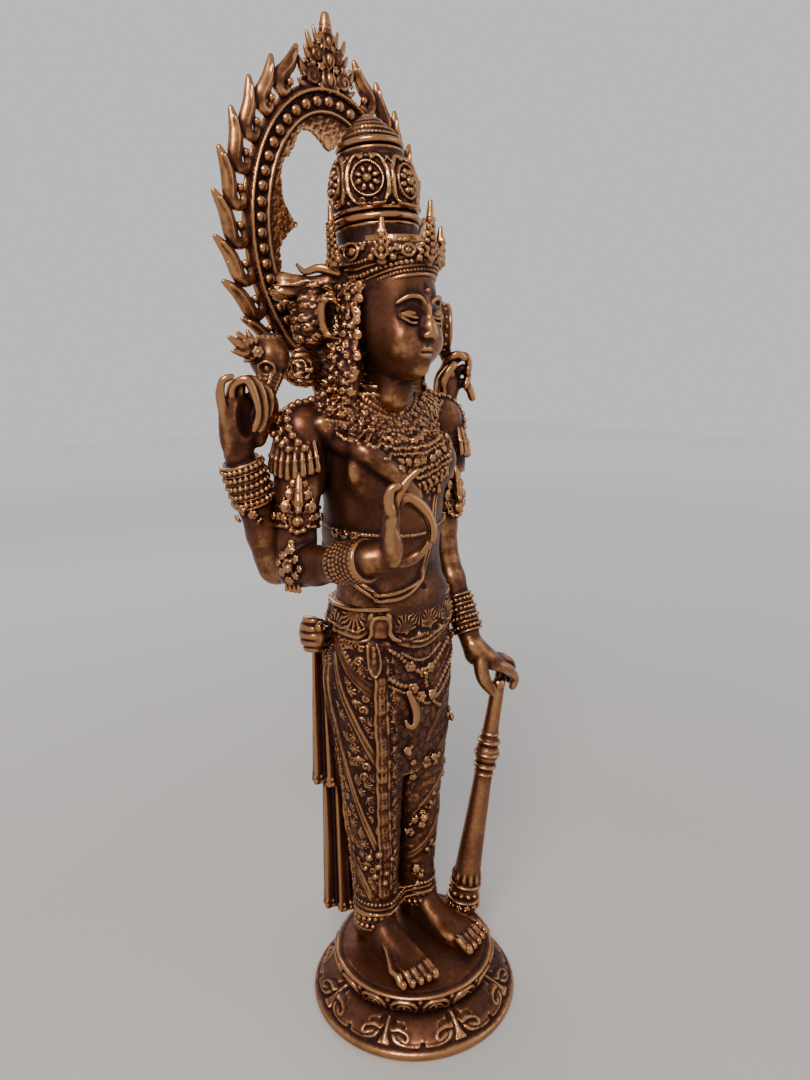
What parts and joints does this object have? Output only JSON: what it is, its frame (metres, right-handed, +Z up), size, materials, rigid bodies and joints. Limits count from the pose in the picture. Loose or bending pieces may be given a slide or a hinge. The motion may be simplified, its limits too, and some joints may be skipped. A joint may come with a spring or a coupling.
{
  "type": "standing temple figure",
  "caption": "Cast brass standing deity figure in a wrapped skirt and tall crown, holding a conch, disc and mace, with a flaming halo behind the head, on a round lotus plinth.",
  "frame": {"origin": "centre of the plinth's flat underside", "axes": "+Z up; the figure faces -Y; its left hand with the mace is towards +X; the halo is towards +Y"},
  "size_m": [0.1525, 0.1206, 0.5072],
  "materials": {
    "plinth_brass": "cast and chased, dark red-brown patina in the recesses",
    "figure_brass": "satin cast brass, rubbed golden on the high parts, dark red-brown patina in the recesses",
    "mace_brass": "smooth satin brass",
    "halo_brass": "cast brass, rough dark red-brown back plate, rubbed golden flame tips"
  },
  "bodies": {
    "root": {"plinth": "plinth_brass", "figure": "figure_brass", "mace": "mace_brass", "halo": "halo_brass"}
  },
  "joints": []
}
